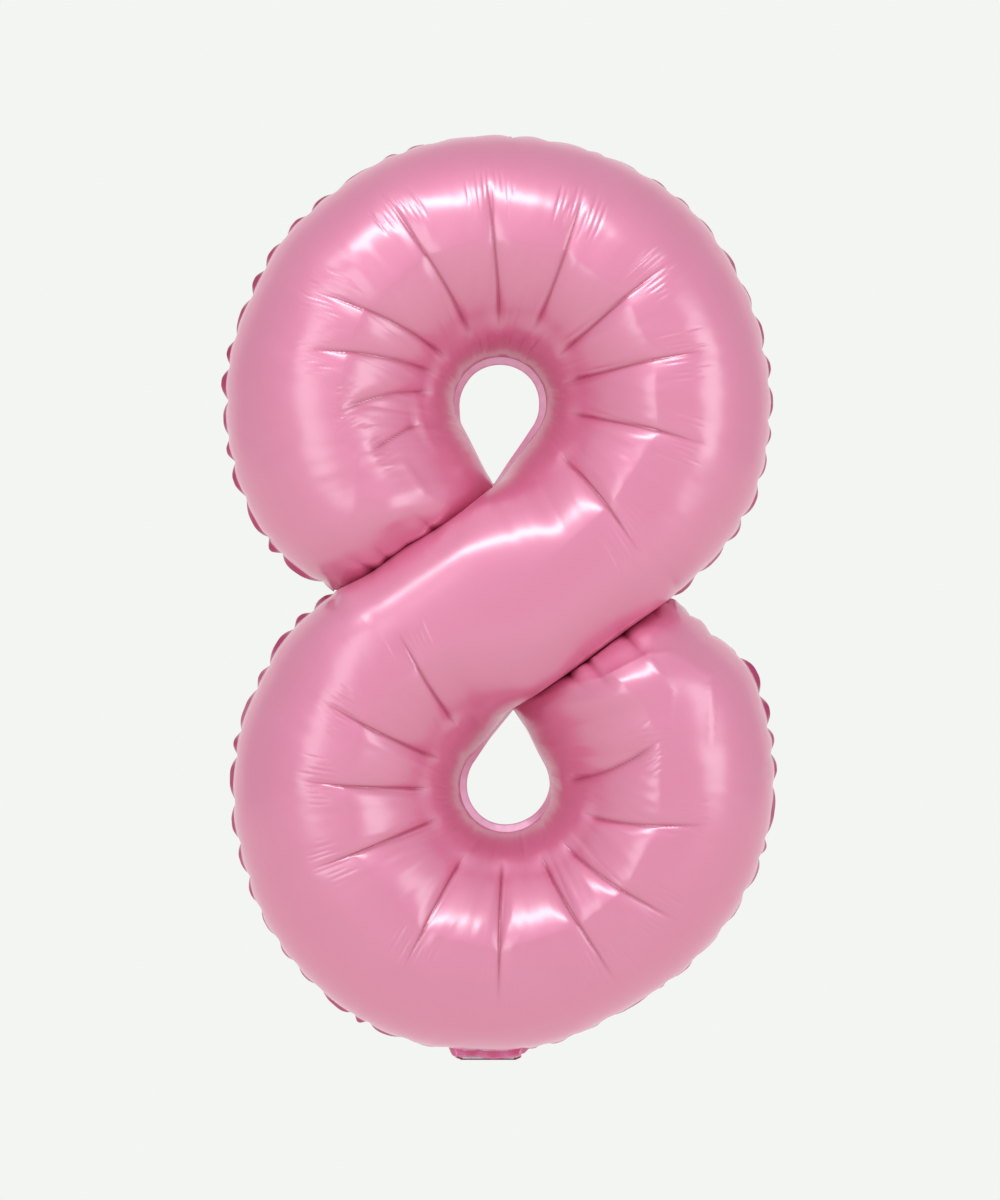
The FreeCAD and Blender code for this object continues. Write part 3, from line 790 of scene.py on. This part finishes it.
# the rings inside the holes: the same foil painted a pale lilac pink, a painted reflection of the pale backdrop
ringReflectionLook = dict(shadedHemLook, colour=(0.78, 0.40, 0.55, 1), second=(0.82, 0.46, 0.60, 1), metallic=0.6, rough=0.5,
               coatRough=0.3)
tailLook = dict(filmLook, foldShadeMix=0.0, crinkle=shadedHemLook["crinkle"])
# the valve's thin clear film and the heat-proof print between its layers
valveLook = dict(shadedHemLook, colour=(0.78, 0.79, 0.82, 1), second=(0.86, 0.87, 0.90, 1), metallic=0.0, rough=0.3,
                 clear=0.4)
printLook = dict(shadedHemLook, colour=(0.40, 0.48, 0.58, 1), second=(0.50, 0.57, 0.66, 1), metallic=0.0, rough=0.6,
                 coat=0.0)
pinkFoil = foilMaterial("pinkFoil", filmLook)
hemFoil = foilMaterial("sealedHem", shadedHemLook)
ringReflectionFoil = foilMaterial("holeRingReflection", ringReflectionLook)
tailFoil = foilMaterial("tailFoil", tailLook)
valveFilm = foilMaterial("valveFilm", valveLook)
releasePrint = foilMaterial("releasePrint", printLook)
for thing in (frontFilm, backFilm):
    thing.data.materials.append(pinkFoil)
for thing in (upperHem, lowerHem, upperWeld, lowerWeld):
    thing.data.materials.append(hemFoil)
for thing in (frontLeaf, backLeaf, tabPiece):
    thing.data.materials.append(tailFoil)
for thing in (upperRing, lowerRing):
    thing.data.materials.append(ringReflectionFoil)
valveLooks = {"valve_front_film": valveFilm, "valve_back_film": valveFilm, "valve_release_strip": releasePrint}
for node, surface in valveLooks.items():
    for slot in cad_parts[node].material_slots:
        slot.material = surface
print("materials made")


studio = {
    "backdrop": (0.896, 0.913, 0.888, 1), "world": (0.86, 0.87, 0.90, 1), "worldStrength": 0.84,
    # the paper sweep: the curve's radius, floor height, wall distance, half width, front edge and top
    "bend": 1.2, "floorZ": -0.75, "wallY": 5.0, "half": 8.0, "frontY": -6.0, "topZ": 7.0,
    "aim": (0.01, 0.0, 0.43), "lightColour": (0.86, 1.0, 1.0),
    # name, place, size (m) and power (W) of each light
    "lights": [("highStrip", (-0.45, -2.0, 2.35), (2.0, 0.36), 22), ("leftBox", (-1.3, -2.5, 0.75), (0.9, 1.6), 6.5),
               ("rightBox", (2.1, -1.9, 0.85), (1.0, 1.6), 9)],
    "cameraDistance": 3.2, "viewHeight": 1.1194, "centre": (0.0109, 0.4284), "sensor": 24,
}


def plainEmission(name, colour, strength):
    material = bpy.data.materials.new(name)
    material.use_nodes = True
    tree = material.node_tree
    tree.nodes.clear()
    glow, out = tree.nodes.new("ShaderNodeEmission"), tree.nodes.new("ShaderNodeOutputMaterial")
    glow.inputs["Color"].default_value = colour
    glow.inputs["Strength"].default_value = strength
    tree.links.new(glow.outputs[0], out.inputs[0])
    return material


def makeBackdrop():
    # a floor that curves up into a wall: a quarter circle between two straight runs
    bend, floorZ, wallY = studio["bend"], studio["floorZ"], studio["wallY"]
    a = np.linspace(0, np.pi / 2, 24)
    y = np.concatenate([[studio["frontY"]], wallY - bend + bend * np.sin(a), [wallY]])
    z = np.concatenate([[floorZ], floorZ + bend - bend * np.cos(a), [studio["topZ"]]])
    x = np.linspace(-studio["half"], studio["half"], 5)
    points = np.stack(np.broadcast_arrays(x[None], y[:, None], z[:, None]), 2)
    sheet = gridMesh("paleBackdrop", points, outward=(0, -1, 1))
    sheet.data.materials.append(plainEmission("palePaper", studio["backdrop"], 1.0))


def areaLight(name, place, size, power):  # a rectangle of light turned towards the aim
    lamp = bpy.data.lights.new(name, "AREA")
    lamp.shape, lamp.size, lamp.size_y = "RECTANGLE", size[0], size[1]
    lamp.energy, lamp.color = power, studio["lightColour"]
    thing = bpy.data.objects.new(name, lamp)
    bpy.context.scene.collection.objects.link(thing)
    away = np.array(studio["aim"]) - np.array(place)
    away /= np.linalg.norm(away)
    thing.location = place
    thing.rotation_euler = (math.acos(-away[2]), 0, math.atan2(-away[0], away[1]))
    return thing


makeBackdrop()
for light in studio["lights"]:
    areaLight(*light)

world = bpy.data.worlds.new("studioWorld")
bpy.context.scene.world = world
world.use_nodes = True
world.node_tree.nodes["Background"].inputs["Color"].default_value = studio["world"]
world.node_tree.nodes["Background"].inputs["Strength"].default_value = studio["worldStrength"]

lens = bpy.data.cameras.new("frontCamera")
camera = bpy.data.objects.new("frontCamera", lens)
bpy.context.scene.collection.objects.link(camera)
lens.sensor_fit = "VERTICAL"
lens.sensor_height = studio["sensor"]
lens.lens = studio["sensor"] * studio["cameraDistance"] / studio["viewHeight"]
camera.location = (studio["centre"][0], -studio["cameraDistance"], studio["centre"][1])
camera.rotation_euler = (math.pi / 2, 0, 0)
bpy.context.scene.camera = camera
bpy.context.scene.view_settings.view_transform = "Standard"
print("stage, lights and camera made")
